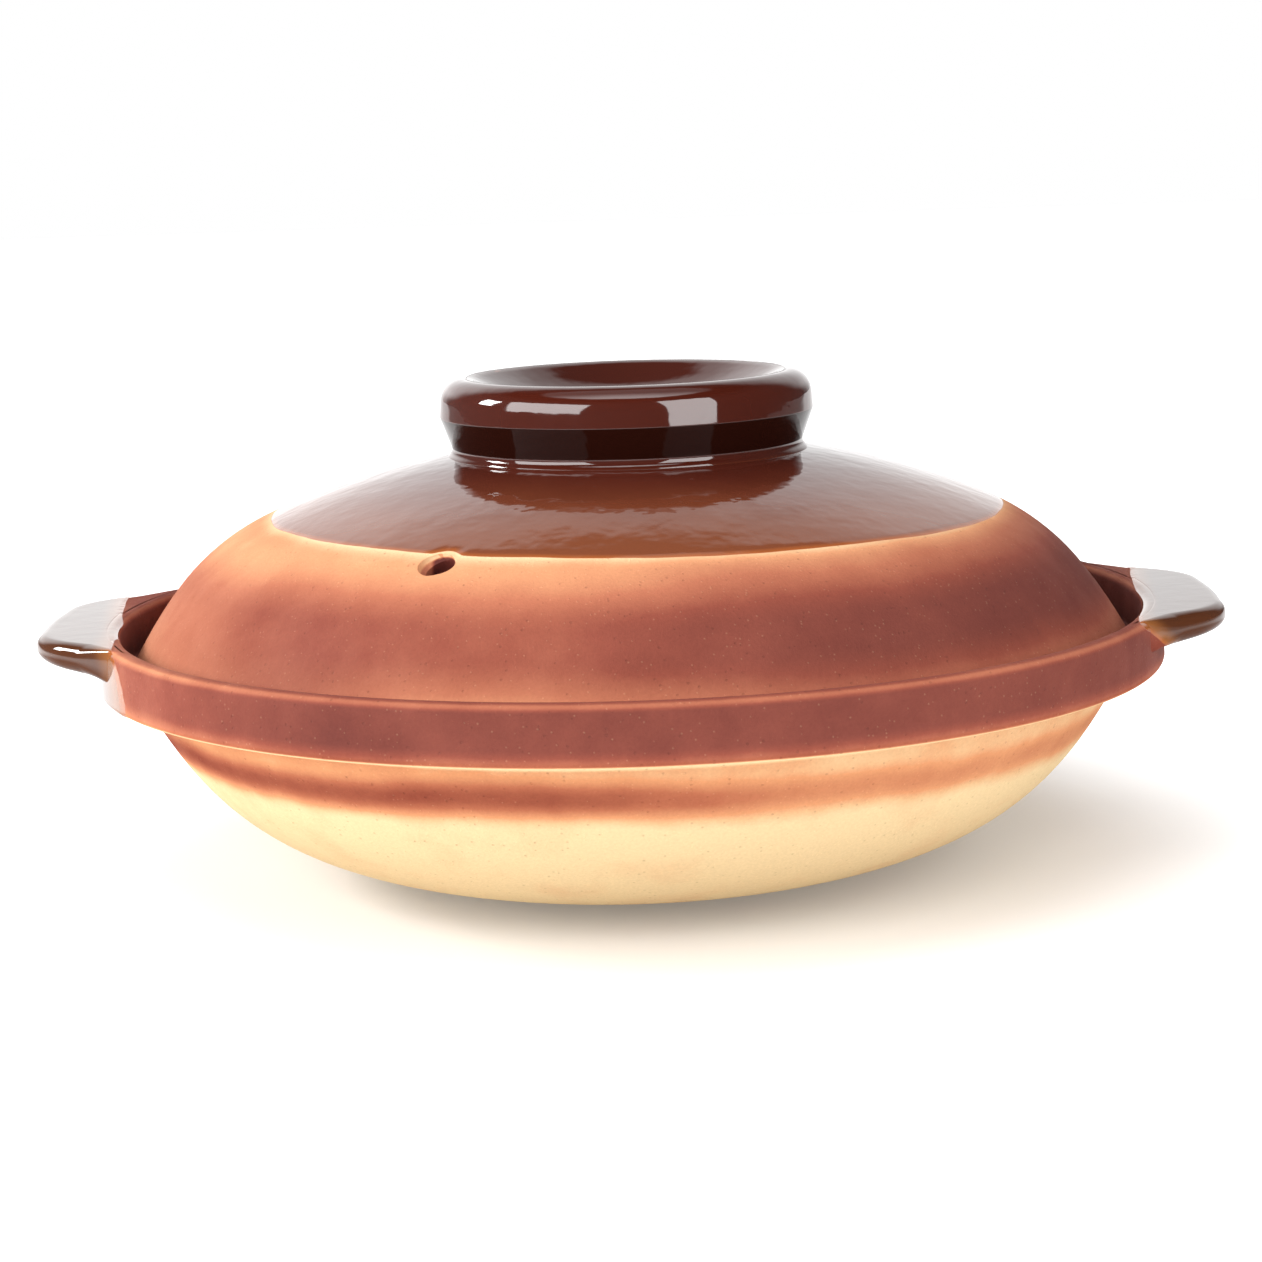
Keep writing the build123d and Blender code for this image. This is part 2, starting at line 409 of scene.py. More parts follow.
# %% Throwing the bowl
def bowl_profile():
    """Up the outside from the axis, over the rim, across the seat and down the inside."""
    collar_low = rim_height - collar_height
    under_collar = (collar_radius - collar_overhang, collar_low)
    belly_end = slanted(under_collar, belly_slope, -run_for(belly_round, belly_slope))
    seat_edge = (seat_radius, seat_height)
    inside_start = slanted(seat_edge, inner_slope, -run_for(seat_round, inner_slope))
    foot_edge = (foot_radius, 0)
    foot = rounded([
        (0, foot_recess), (foot_radius - foot_ring - foot_bevel, foot_recess),
        (foot_radius - foot_ring, 0), foot_edge, slanted(foot_edge, foot_slope, foot_ring),
    ], [recess_round, ring_round, 0], 4)[:-1]
    belly = bezier(foot_edge, slanted(foot_edge, foot_slope, belly_pull_low),
                   slanted(belly_end, belly_slope, -belly_pull_high), belly_end, 70)
    collar = rounded([
        belly_end, under_collar, (collar_radius, collar_low), (rim_radius, rim_height),
        (mouth_radius, rim_height), (gallery_radius, seat_height), seat_edge, inside_start,
    ], [belly_round, collar_round, rim_round, rim_round, gallery_round, seat_round])
    inside = bezier(inside_start, slanted(inside_start, inner_slope, -inner_pull),
                    (seat_radius * floor_share, bowl_floor), (0, bowl_floor), 80)
    return foot + belly[1:] + collar[1:] + inside[1:]


bowl = turned("thrown_bowl", bowl_profile(), spacing=1.9 * MM, steps_round=384,
              wander=0.5 * MM, rings=0.10 * MM, seed=3.0)

# %% [markdown]
# The lid
#
# The lid is a dome of even wall in three arcs: a steep side, a rounder shoulder and a flat
# crown. Its inside follows the same centres, one wall's thickness in.

# %% The lid's arcs
lid_wall, lid_gap = 6 * MM, 1.3 * MM
lid_corner = gallery_radius - lid_gap
side_slope, side_turn, side_radius = 59.1, 6.95, 125 * MM
shoulder_radius, crown_slope = 55.5 * MM, 22.6
edge_round = 1.7 * MM


def on_arc(centre, radius, slope):
    """The point of an arc round a centre where the profile slopes by so many degrees."""
    return slanted(centre, 90 - slope, radius)


def dome_centres():
    """Centres of side, shoulder and crown, and the crown's radius."""
    edge_run = lid_wall / tan(radians(side_slope)) + run_for(edge_round, 180 - side_slope)
    side_start = slanted((lid_corner, seat_height), 180 - side_slope, edge_run)
    side = on_arc(side_start, -side_radius, side_slope)
    shoulder = on_arc(side, side_radius - shoulder_radius, side_slope - side_turn)
    crown_start = on_arc(shoulder, shoulder_radius, crown_slope)
    crown_radius = crown_start[0] / sin(radians(crown_slope))
    return side, shoulder, on_arc(crown_start, -crown_radius, crown_slope), crown_radius


def dome_at(radius):
    """The crown's height at a distance from the axis."""
    crown, crown_radius = dome_centres()[2:]
    return on_arc(crown, crown_radius, degrees(asin(radius / crown_radius)))[1]


print("The dome's crown is at", round(dome_at(0) / MM, 1), "mm")


# %% Throwing the lid
def dome_line(depth):
    """The dome at a depth under its outer face, from over the edge to the axis."""
    side, shoulder, crown, crown_radius = dome_centres()
    side_start, shoulder_start = 90 - side_slope, 90 - side_slope + side_turn
    shoulder_turn = side_slope - side_turn - crown_slope
    line = arc(side, side_radius - depth, side_start, side_turn, 8)
    line += arc(shoulder, shoulder_radius - depth, shoulder_start, shoulder_turn, 24)[1:]
    return line + arc(crown, crown_radius - depth, 90 - crown_slope, crown_slope, 46)[1:]


def lid_profile():
    """Up the outside from the edge to the crown, and back down the inside."""
    outer, inner = dome_line(0), dome_line(lid_wall)
    inner_corner = (lid_corner - lid_wall / sin(radians(side_slope)), seat_height)
    edge = rounded([inner[0], inner_corner, (lid_corner, seat_height), outer[0]], [edge_round] * 2)
    return inner[::-1] + edge[1:-1] + outer


lid = turned("thrown_lid", lid_profile(), spacing=1.7 * MM, steps_round=384,
             wander=0.5 * MM, rings=0.08 * MM, seed=7.0)

# %% [markdown]
# The steam hole
#
# The potter pokes the steam hole with a round stick while the clay is leather hard, and
# rocks the stick as it comes out, which wipes the hole's left flank away. Two Booleans cut
# the same hole: one with a pointed stick that leans over, one with a stick that stands
# square to the dome and has a flared neck.

# %% Poking the hole
hole_radius, hole_turn = 3.6 * MM, 243.2
hole_slope = crown_slope + 3.0
flare_width, flare_height, flare_round, tool_top = 1.1 * MM, 0.4 * MM, 1.0 * MM, 2.5 * MM
neck_depth, point_radius, lean = 0.5 * MM, 0.5 * MM, 24
crease = radians(35)
mouth = on_arc(dome_centres()[1], shoulder_radius, hole_slope)


def stick(name, tilt, depth, neck):
    """A stick with a flare above its neck, tilted along the lid, in its place."""
    flare_radius = hole_radius + flare_width
    tool = rounded([
        (0, -depth), (neck[0], -depth), neck, (flare_radius, flare_height),
        (flare_radius, tool_top), (0, tool_top),
    ], [0, flare_round, 0, 0])
    piece = turned(name, tool, spacing=1.0 * MM, steps_round=64)
    turns = [(hole_turn, "Z"), (hole_slope, "Y"), (tilt, "X")]
    about_axis, square, leaned = [Matrix.Rotation(radians(angle), 4, axis) for angle, axis in turns]
    out = Matrix.Translation((mouth[0], 0, mouth[1]))
    piece.data.transform(about_axis @ out @ square @ leaned)
    return piece


def cut(piece, tool):
    """Take a tool's shape out of a piece and throw the tool away."""
    modifier = piece.modifiers.new("cut", "BOOLEAN")
    modifier.object = tool
    modifier.operation = "DIFFERENCE"
    modifier.solver = "EXACT"
    keep_result(piece, modifier)
    bpy.data.objects.remove(tool)


cut(lid, stick("leaning_stick", lean, 7 * MM, neck=(point_radius, -6.3 * MM)))
cut(lid, stick("stick", 0, 12 * MM, neck=(hole_radius, -neck_depth)))
lid.data.set_sharp_from_angle(angle=crease)
print("The lid has", len(lid.data.polygons), "faces with its hole")

# %% [markdown]
# The knob
#
# The knob is a ring as wide as a saucer, with a neck that leans out to a rounded flange and
# a dish on top, so that the lid can be laid on its back and used as a plate.

# %% Throwing the knob
crown_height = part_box("lid")[1].z
flange_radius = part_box("lid_knob")[1].x
knob_foot_radius, knob_cove, knob_bed = 44.3 * MM, 1.5 * MM, 2 * MM
cove_low, cove_high, ridge_height = 0.1 * MM, 2 * MM, 5.9 * MM
flange_lean, flange_top = 0.8 * MM, 16.4 * MM
roll_width, roll_slope, dish_slope, dish_height = 7.4 * MM, 8, 27, 7.1 * MM
cove_round, ridge_round, flange_round, roll_round, dish_round = [
    radius * MM for radius in (2.0, 0.9, 6, 8, 45)]
knob_shift = 0.65 * MM


def knob_profile():
    """From under the knob up its neck, over the roll and into the dish."""
    foot_reach = knob_foot_radius + knob_cove
    bed = [(radius, dome_at(radius) - knob_bed) for radius in np.linspace(0, foot_reach, 12)]
    corner = (flange_radius - flange_lean, crown_height + flange_top)
    lip = slanted(corner, 180 + roll_slope, roll_width)
    dish_floor = crown_height + dish_height
    wall = slanted(lip, 180 + dish_slope, (lip[1] - dish_floor) / sin(radians(dish_slope)))
    return bed[:-1] + rounded([
        bed[-1], (foot_reach, dome_at(foot_reach) + cove_low),
        (knob_foot_radius, dome_at(foot_reach) + cove_high),
        (flange_radius, crown_height + ridge_height), corner, lip, wall, (0, dish_floor),
    ], [0, cove_round, ridge_round, flange_round, roll_round, dish_round], 12)


knob = turned("ring_knob", knob_profile(), spacing=1.0 * MM, steps_round=320,
              wander=0.3 * MM, rings=0.05 * MM, seed=11.0)
knob.data.transform(Matrix.Translation((knob_shift, 0, 0)))

# %% [markdown]
# The lug handles
#
# Each handle is a flat lug of clay, level with the rim, rounded along its edge and thicker
# where it is pressed on to the collar. It is lofted: a fan of sections runs from the bed in
# the collar's wall out to the lug's outline, over the edge and back underneath, and the clay
# that the potter smears into the join is a flare of each section at its root.

# %% The lug's outline
lug_reach = 14.3 * MM
lug_tip_turn, lug_root_turn = 11.3, 20.0
lug_shoulder_bulge, lug_end_run = 1.2 * MM, 6.5 * MM
lug_corner_round, lug_spacing = 24 * MM, 0.8 * MM


def polar(radius, turn):
    """A point of the plan at a distance from the axis and a turn in degrees."""
    return (radius * cos(radians(turn)), radius * sin(radians(turn)))


def lug_outline():
    """The lug from above, from inside the collar on one side to the other side."""
    tip = Vector((collar_radius + lug_reach, 0))
    shoulder = Vector(polar(tip.x + lug_shoulder_bulge, lug_tip_turn))
    root = Vector(polar(collar_radius, lug_root_turn))
    inside = root + (root - shoulder).normalized() * lug_end_run
    half = [tuple(inside), tuple(shoulder)]
    corners = half + [tuple(tip)] + [(x, -y) for x, y in reversed(half)]
    return filled_in(rounded(corners, [lug_corner_round, tip.x, lug_corner_round], 16), lug_spacing)


print("A lug's outline has", len(lug_outline()), "points")

# %% The lug's section
lug_top = rim_height
lug_tip_thickness, lug_root_thickness, lug_thinning_run = 5.3 * MM, 8.6 * MM, 22 * MM
lug_flare, lug_flare_reach = 0.5 * MM, 3.0 * MM
least_lean, edge_share, edge_room = 0.3, 0.46, 0.45
steps_flat, steps_edge = 14, 14


def lug_thickness(radius):
    """Clay under the lug's top, at a distance from the pot's axis."""
    share = min(max((collar_radius + lug_reach - radius) / lug_thinning_run, 0), 1)
    flare = max(0, 1 - max(radius - collar_radius, 0) / lug_flare_reach) ** 2
    thickening = (lug_root_thickness - lug_tip_thickness) * share
    return lug_tip_thickness + thickening + lug_flare * flare


def lug_section(start, end, facing):
    """One closed section: out along the top, round the edge, back underneath."""
    length = (end - start).length
    ray = (end - start) / length
    lean_to_edge = max(ray.dot(facing), least_lean)
    reach = length * lean_to_edge
    edge = min(edge_share * lug_thickness(end.length), edge_room * reach)

    def at(inset, depth_of):
        """A point so far in from the outline, as deep as its thickness says."""
        place = end - ray * min(inset / lean_to_edge, length)
        return (place.x, place.y, lug_top - depth_of(lug_thickness(place.length)))

    def round_depth(turn):
        """The depth on the edge, which keeps its radius above and underneath."""
        side = (turn > 0) - (turn < 0)
        return lambda thickness: thickness / 2 - edge * sin(turn) - (thickness / 2 - edge) * side

    insets = np.linspace(reach, edge, steps_flat)
    turns = [pi / 2 - pi * step / steps_edge for step in range(1, steps_edge)]
    points = [at(inset, lambda thickness: 0) for inset in insets]
    points += [at(edge * (1 - cos(turn)), round_depth(turn)) for turn in turns]
    return points + [at(inset, lambda thickness: thickness) for inset in insets[::-1]]


print("A lug is", round(lug_thickness(collar_radius) / MM, 1), "mm thick at the collar")

# %% Lofting the lugs
bed_radius = 131.5 * MM
bed_margin = 0.5
lug_right_turn, lug_left_turn = -2.3, 180.2


def lug_sections():
    """The lug's sections, fanned out from the bed to the outline."""
    outline = [Vector(point) for point in lug_outline()]
    last = len(outline) - 1
    spread = degrees(atan2(outline[0].y, outline[0].x)) + bed_margin
    sections = []
    for index, end in enumerate(outline):
        along = (outline[min(index + 1, last)] - outline[max(index - 1, 0)]).normalized()
        facing = Vector((along.y, -along.x))
        if facing.dot(end) < 0:
            facing.negate()
        start = Vector(polar(bed_radius, spread * (1 - 2 * index / last)))
        sections.append(lug_section(start, end, facing))
    return sections


def make_lug(name, turn):
    """A lug as a loft of closed sections, with its two ends hidden in the collar's wall."""
    sections = lug_sections()
    size = len(sections[0])
    faces = []
    for low in range(0, (len(sections) - 1) * size, size):
        for column in range(size):
            after = (column + 1) % size
            faces.append((low + column, low + after, low + size + after, low + size + column))
    ends = range(size), reversed(range((len(sections) - 1) * size, len(sections) * size))
    faces += [tuple(end) for end in ends]
    mesh = bpy.data.meshes.new(name)
    mesh.from_pydata([point for section in sections for point in section], [], faces)
    mesh.transform(Matrix.Rotation(radians(turn), 4, "Z"))
    mesh.shade_smooth()
    return outward(in_scene(name, mesh))


lug_right = make_lug("lug_right", lug_right_turn)
lug_left = make_lug("lug_left", lug_left_turn)

# %% [markdown]
# Glaze
#
# The glaze is a skin of brown glass about a third of a millimetre thick, and it ends in a
# soft edge where the dip stopped. Each piece gets an attribute that says how far inside the
# glaze every point lies, below zero on bare clay. The same numbers raise the skin here and
# colour it later, so that shape and colour end on the same line.

# %% Laying glaze on a piece
glaze_thickness, glaze_edge_width = 0.28 * MM, 1.1 * MM
bare, covered = -1, 90 * MM


def arrays(piece):
    """Points and normals of a piece's mesh as arrays."""
    mesh = piece.data
    points, normals = np.empty((2, len(mesh.vertices) * 3), np.float32)
    mesh.vertices.foreach_get("co", points)
    mesh.vertex_normals.foreach_get("vector", normals)
    return points.reshape(-1, 3), normals.reshape(-1, 3)


def wavy(points, size, seed):
    """A smooth random value from -1 to 1 at each point, with waves of about one size."""
    shift = Vector((seed, 2 * seed, 3 * seed))
    return np.array([noise.noise(Vector(point) / size + shift) for point in points.tolist()])


def glaze(piece, inside_of, thickness=glaze_thickness):
    """Record how far inside the glaze each point lies, and raise the skin there."""
    points, normals = arrays(piece)
    inside = inside_of(points, normals)
    share = np.clip(inside / glaze_edge_width, 0, 1)
    points += normals * (np.sqrt(1 - (1 - share) ** 2) * thickness)[:, None]
    piece.data.vertices.foreach_set("co", points.astype(np.float32).ravel())
    attribute = piece.data.attributes.new("glaze_depth", "FLOAT", "POINT")
    attribute.data.foreach_set("value", inside.astype(np.float32))
    piece.data.update()
    print(f"{piece.name}: glaze on {np.mean(inside > 0):.0%} of its points")


glaze(knob, lambda points, normals: np.full(len(points), covered), thickness=0)

# %% The lid's pool of glaze
pool_radius, pool_x, pool_y = 92.8 * MM, 2.6 * MM, 0.2 * MM
inner_pool_low = 61 * MM
hole_margin = 1.6 * MM


def lid_glaze(points, normals):
    """Outside, a round pool that bends round the hole; inside, all but a band."""
    x, y, z = points.T
    flat = points * (1, 1, 0)
    ripple = wavy(flat, 35 * MM, 4) * 0.7 * MM + wavy(flat, 9 * MM, 5) * 0.22 * MM
    pool = pool_radius - np.hypot(x - pool_x, y - pool_y) + ripple
    hole_x, hole_y = polar(mouth[0], hole_turn)
    from_hole = np.hypot(x - hole_x, y - hole_y) - hole_radius - hole_margin
    below = np.where(from_hole > 0, z - inner_pool_low + ripple, bare)
    return np.where(normals[:, 2] > 0, np.minimum(pool, from_hole), below)


glaze(lid, lid_glaze)

# %% The dips on the bowl and the lugs
cooking_radius, cooking_gap = 118.5 * MM, 1.5 * MM
dip_inner_radius = 129.4 * MM
left_line, left_slant, left_run, left_fall = 125 * MM, 0.12, 3.3 * MM, 5 * MM
right_line, right_slant, right_fall = 123 * MM, 0.149, 0.95


def left_dip(points, normals):
    """The left handle was dipped at a slant, with the collar that bears it."""
    x, y, z = points.T
    slope = left_run * (1 - np.exp((z - rim_height) / left_fall))
    line = x + left_line + left_slant * (y + 45 * MM)
    return slope - line + wavy(points, 12 * MM, 2) * 0.35 * MM


def right_dip(points, normals):
    """The right lug was dipped from above, at a slant, and its root stays bare."""
    x, y, z = points.T
    line = x - right_line - right_slant * (y + 40 * MM)
    return line - (lug_top - z) * right_fall + wavy(points, 12 * MM, 6) * 0.3 * MM


def bowl_glaze(points, normals):
    """The cooking side below the seat, and the dips on the collar."""
    x, y, z = points.T
    away = np.hypot(x, y)
    ripple = wavy(points, 25 * MM, 8) * 0.5 * MM
    in_bowl = (away < cooking_radius) & (normals[:, 2] > 0)
    cooking = np.where(in_bowl, seat_height - cooking_gap - z + ripple, bare)
    dips = np.where(x < 0, left_dip(points, normals), right_dip(points, normals))
    return np.maximum(cooking, np.where(away > dip_inner_radius, dips, bare))


glaze(bowl, bowl_glaze)
glaze(lug_left, left_dip)
glaze(lug_right, right_dip)

# %% [markdown]
# Shared finishes
#
# Sandy clay shows on the bowl and the lid, and the brown glaze on all of it, so both are
# shader node groups with named inputs, built once. A group puts out masks, colours and
# heights, and each material mixes them with its own colours.

# %% Helpers for colours and masks
def srgb(red, green, blue):
    """A colour as it is seen, from 0 to 255, in the linear values that nodes use."""
    seen = [value / 255 for value in (red, green, blue)]
    return (*[share / 12.92 if share <= 0.04045 else ((share + 0.055) / 1.055) ** 2.4
              for share in seen], 1)


def mixed(nodes, share, first, second):
    """Two colours mixed by a share; the socket of the result."""
    node = nodes.add("ShaderNodeMix", {"data_type": "RGBA"}, i0=share, i6=first, i7=second)
    return node.outputs[2]


def between(nodes, value, low, high, to_low=0.0, to_high=1.0):
    """A value's smooth way from one number to another; the socket of the result."""
    return nodes.add("ShaderNodeMapRange", {"interpolation_type": "SMOOTHSTEP"}, Value=value,
                     From_Min=low, From_Max=high, To_Min=to_low, To_Max=to_high).outputs[0]


def some(nodes, cells, share):
    """One in a random share of a Voronoi texture's cells, and zero in the others."""
    red = nodes.add("ShaderNodeSeparateColor", Color=cells.outputs["Color"]).outputs[0]
    return nodes.math("LESS_THAN", red, share)


def put_out(nodes, **values):
    """Give a group's outputs their values."""
    nodes.add("NodeGroupOutput", **values)
    return nodes.tree


print("Middle grey:", round(srgb(128, 128, 128)[0], 3))

# %% Sandy clay as a group
dark_grain, pale_grain = (1.7, 0.10, 0.0, 0.9), (1.4, 0.14, 7.0, 0.7)


def grains(nodes, given, per_grain, size, share, seed):
    """A mask of round grains of a size, in a share of the places."""
    shifted = nodes.vector("ADD", given["Vector"], (seed, seed, seed))
    cells = nodes.add("ShaderNodeTexVoronoi", Vector=shifted, Scale=nodes.over(per_grain, size),
                      Randomness=1.0)
    near = between(nodes, cells.outputs["Distance"], 0.34, 0.12)
    return nodes.times(some(nodes, cells, share), near)


def sandy_clay_group():
    """Bare clay: a cloudy tone, dark and pale grains, and their height."""
    nodes = Nodes(new_tree("sandy_clay", "ShaderNodeTree", [
        ("Vector", "Vector", None), ("Grain", "Float", 0.6 * MM), ("Cloud", "Float", 30 * MM),
    ], [(label, "Float") for label in ("Cloud", "Dark Grains", "Pale Grains", "Height")]))
    given = nodes.add("NodeGroupInput").outputs
    per_grain = nodes.over(1.0, given["Grain"])
    fine = nodes.noise(given["Vector"], Scale=per_grain, Detail=3.0, Roughness=0.6)
    per_cloud = nodes.over(1.0, given["Cloud"])
    cloud = nodes.noise(given["Vector"], Scale=per_cloud, Detail=5.0, Roughness=0.62)
    dark = grains(nodes, given, per_grain, *dark_grain[:3])
    pale = grains(nodes, given, per_grain, *pale_grain[:3])
    lumps = nodes.minus(nodes.times(pale, pale_grain[3]), nodes.times(dark, dark_grain[3]))
    return put_out(nodes, Cloud=cloud, Dark_Grains=dark, Pale_Grains=pale,
                   Height=nodes.plus(fine, lumps))


sandy_clay = sandy_clay_group()
print("Group:", sandy_clay.name)

# %% The glaze's edge as a group
glaze_line = 0.12 * MM


def glaze_edge_group():
    """From the depth: where glaze is, where it runs thin, and the halo beside."""
    nodes = Nodes(new_tree("glaze_edge", "ShaderNodeTree", [
        ("Depth", "Float", 0.0), ("Thin Width", "Float", 3 * MM), ("Halo Width", "Float", 6 * MM),
    ], [(label, "Float") for label in ("Glazed", "Thin", "Halo")]))
    given = nodes.add("NodeGroupInput").outputs
    glazed = nodes.over(nodes.plus(given["Depth"], glaze_line), 2 * glaze_line, clamp=True)
    thin = nodes.minus(1.0, nodes.over(given["Depth"], given["Thin Width"]), clamp=True)
    fade = nodes.plus(1.0, nodes.over(given["Depth"], given["Halo Width"]), clamp=True)
    halo = nodes.times(nodes.math("POWER", fade, 2.0), nodes.minus(1.0, glazed))
    return put_out(nodes, Glazed=glazed, Thin=thin, Halo=halo)


glaze_edge = glaze_edge_group()
print("Group:", glaze_edge.name)

# %% [markdown]
# The brown glaze
#
# An iron glaze is nearly black-red where it pools and turns amber where it runs thin, on
# edges and along its end. Its surface is glass, so it is very smooth, with slow ripples and
# a few pinholes.

# %% Glaze colour and surface
glaze_amber = srgb(158, 86, 42)
knob_colours = srgb(130, 60, 36), srgb(90, 36, 26), srgb(66, 24, 15)
lid_colours = srgb(118, 64, 40), srgb(80, 33, 23), srgb(50, 16, 10)
lug_colours = srgb(128, 78, 40), srgb(74, 40, 22), srgb(52, 27, 15)
thin_width, halo_width = 1.4 * MM, 5 * MM
ripple_size = 8 * MM


def new_material(name):
    """A material, its nodes and its Principled shader."""
    material = bpy.data.materials.new(name)
    material.use_nodes = True
    return material, Nodes(material.node_tree), material.node_tree.nodes["Principled BSDF"]


def surface(nodes):
    """The place on the object, the depth in the glaze, and how much the surface faces up."""
    place = nodes.add("ShaderNodeTexCoord").outputs["Object"]
    depth = nodes.add("ShaderNodeAttribute", {"attribute_name": "glaze_depth"}).outputs["Fac"]
    return place, depth, nodes.axes(nodes.add("ShaderNodeNewGeometry").outputs["Normal"])["Z"]


def glaze_colour(nodes, place, depth, edge, colours, warm_from, deep_from):
    """Thin, middling and deep glaze, and amber on edges and at the end."""
    thin_colour, warm_colour, deep_colour = colours
    pool = nodes.noise(place, Scale=28.0, Detail=4.0)
    thick = nodes.plus(depth, nodes.times(nodes.minus(pool, 0.5), warm_from * 0.4))
    warm = between(nodes, thick, warm_from * 0.1, warm_from)
    body = mixed(nodes, warm, thin_colour, warm_colour)
    body = mixed(nodes, between(nodes, thick, deep_from * 0.5, deep_from), body, deep_colour)
    sharp = nodes.add("ShaderNodeNewGeometry").outputs["Pointiness"]
    worn = between(nodes, sharp, 0.515, 0.56, 0, 0.35)
    return mixed(nodes, edge.outputs["Thin"], mixed(nodes, worn, body, glaze_amber), glaze_amber)


def glaze_surface(nodes, place):
    """Roughness and height of the glaze, with slow ripples and pinholes."""
    ripple = nodes.noise(place, Scale=1 / ripple_size, Detail=2.0)
    pin = nodes.add("ShaderNodeTexVoronoi", Vector=place, Scale=260.0)
    near = between(nodes, pin.outputs["Distance"], 0.16, 0.05)
    pinhole = nodes.times(some(nodes, pin, 0.03), near)
    height = nodes.minus(ripple, nodes.times(pinhole, 0.3))
    return between(nodes, ripple, 0.3, 0.7, 0.035, 0.07), height


def bump(nodes, height, distance, strength):
    """The normal of a surface that carries a height."""
    node = nodes.add("ShaderNodeBump", Height=height, Distance=distance, Strength=strength)
    return node.outputs[0]


def glaze_parts(nodes, place, depth, colours, warm_from, deep_from):
    """Colour, roughness and height of the glaze, and the masks of its edge."""
    edge = nodes.add("ShaderNodeGroup", {"node_tree": glaze_edge}, Depth=depth,
                     Thin_Width=thin_width, Halo_Width=halo_width)
    colour = glaze_colour(nodes, place, depth, edge, colours, warm_from, deep_from)
    return colour, *glaze_surface(nodes, place), edge


print("Amber glaze:", [round(value, 3) for value in glaze_amber])


# %% Glaze alone, for the knob
def glaze_material():
    """The knob's glaze, with painted shade that makes it nearly black where it faces down under the
    ridge.
    """
    material, nodes, shader = new_material("brown_glaze")
    place, depth, facing = surface(nodes)
    colour, rough, height, _ = glaze_parts(nodes, place, depth, knob_colours, 48 * MM, 90 * MM)
    # Painted shade: the glaze goes nearly black where it faces down, and shines less there.
    under = between(nodes, facing, -0.02, -0.22)
    colour = mixed(nodes, nodes.times(under, 0.85), colour, srgb(24, 8, 5))
    nodes.feed(shader, "Base Color", colour)
    nodes.feed(shader, "Specular IOR Level", between(nodes, under, 0.0, 1.0, 0.5, 0.07))
    nodes.feed(shader, "Roughness", rough)
    nodes.feed(shader, "Normal", bump(nodes, height, 0.22 * MM, 0.5))
    shader.inputs["IOR"].default_value = 1.62
    return material


brown_glaze = glaze_material()
print("Material:", brown_glaze.name)

# %% [markdown]
# Bare clay under a sprayed wash
#
# The clay is a pale sandy buff. The potter sprayed an iron wash over the upper part of the
# bowl and over the lid, and the flame browned its edges, so the colour runs from cream at
# the foot through a cloudy brown band to purple-brown at the rim. The wash is a share that
# depends on the height, made uneven by noise.

# %% Clay that turns to glaze at the line
clay_ramp = [(0.0, srgb(222, 196, 153)), (0.25, srgb(205, 143, 102)), (0.5, srgb(168, 100, 74)),
             (0.75, srgb(128, 64, 50)), (1.0, srgb(94, 45, 39))]
dark_sand, pale_sand = srgb(92, 48, 38), srgb(250, 214, 170)


def ramp(nodes, value, stops):
    """A colour ramp over a value, from (place, colour) pairs; the socket of its colour."""
    node = nodes.add("ShaderNodeValToRGB", Fac=value)
    elements = node.color_ramp.elements
    while len(elements) < len(stops):
        elements.new(0.5)
    for element, (place, colour) in zip(elements, stops):
        element.position = place
        element.color = colour
    return node.outputs[0]


def clay_colour(nodes, wash, sand):
    """The ramp's colour for the wash, shaded and speckled by the sand."""
    shade = between(nodes, sand.outputs["Height"], 0.1, 0.9, 0.93, 1.07)
    washed = ramp(nodes, wash, clay_ramp)
    clay = nodes.add("ShaderNodeHueSaturation", Color=washed, Value=shade).outputs[0]
    clay = mixed(nodes, nodes.times(sand.outputs["Dark Grains"], 0.12), clay, dark_sand)
    return mixed(nodes, nodes.times(sand.outputs["Pale Grains"], 0.06), clay, pale_sand)


def clay_and_glaze(name, wash_and_shade_of, colours, warm_from, deep_from, glaze_relief):
    """Sandy clay with a wash over it, glazed where the piece says so."""
    material, nodes, shader = new_material(name)
    place, depth, facing = surface(nodes)
    glaze_tone, glaze_rough, glaze_height, edge = glaze_parts(
        nodes, place, depth, colours, warm_from, deep_from)
    sand = nodes.add("ShaderNodeGroup", {"node_tree": sandy_clay}, Vector=place,
                     Grain=0.7 * MM, Cloud=22 * MM)
    # On the lid this also brings painted shade in the steam hole, not only the wash.
    wash = wash_and_shade_of(nodes, place, sand.outputs["Cloud"], edge.outputs["Halo"])
    glazed = edge.outputs["Glazed"]
    clay_tone = clay_colour(nodes, wash, sand)
    clay_rough = between(nodes, sand.outputs["Cloud"], 0.3, 0.7, 0.72, 0.88)
    rough = nodes.add("ShaderNodeMix", {"data_type": "FLOAT"}, i0=glazed,
                      i2=clay_rough, i3=glaze_rough)
    normal = nodes.add("ShaderNodeMix", {"data_type": "VECTOR"}, i0=glazed,
                       i4=bump(nodes, sand.outputs["Height"], 0.22 * MM, 0.6),
                       i5=bump(nodes, glaze_height, glaze_relief, 0.5))
    shine = nodes.times(between(nodes, depth, -glaze_line, glaze_line, 0.15, 0.5),
                        between(nodes, facing, 0.06, -0.2, 1.0, 0.08))
    nodes.feed(shader, "Base Color", mixed(nodes, glazed, clay_tone, glaze_tone))
    nodes.feed(shader, "Roughness", rough.outputs[0])
    nodes.feed(shader, "Specular IOR Level", shine)
    nodes.feed(shader, "Normal", normal.outputs[1])
    shader.inputs["IOR"].default_value = 1.6
    return material


print("Colours of washed clay:", len(clay_ramp))


# %% The bowl's wash
def uneven(nodes, value, amount):
    """A noise value as a change that goes as far down as up."""
    return nodes.times(nodes.minus(value, 0.5), amount)


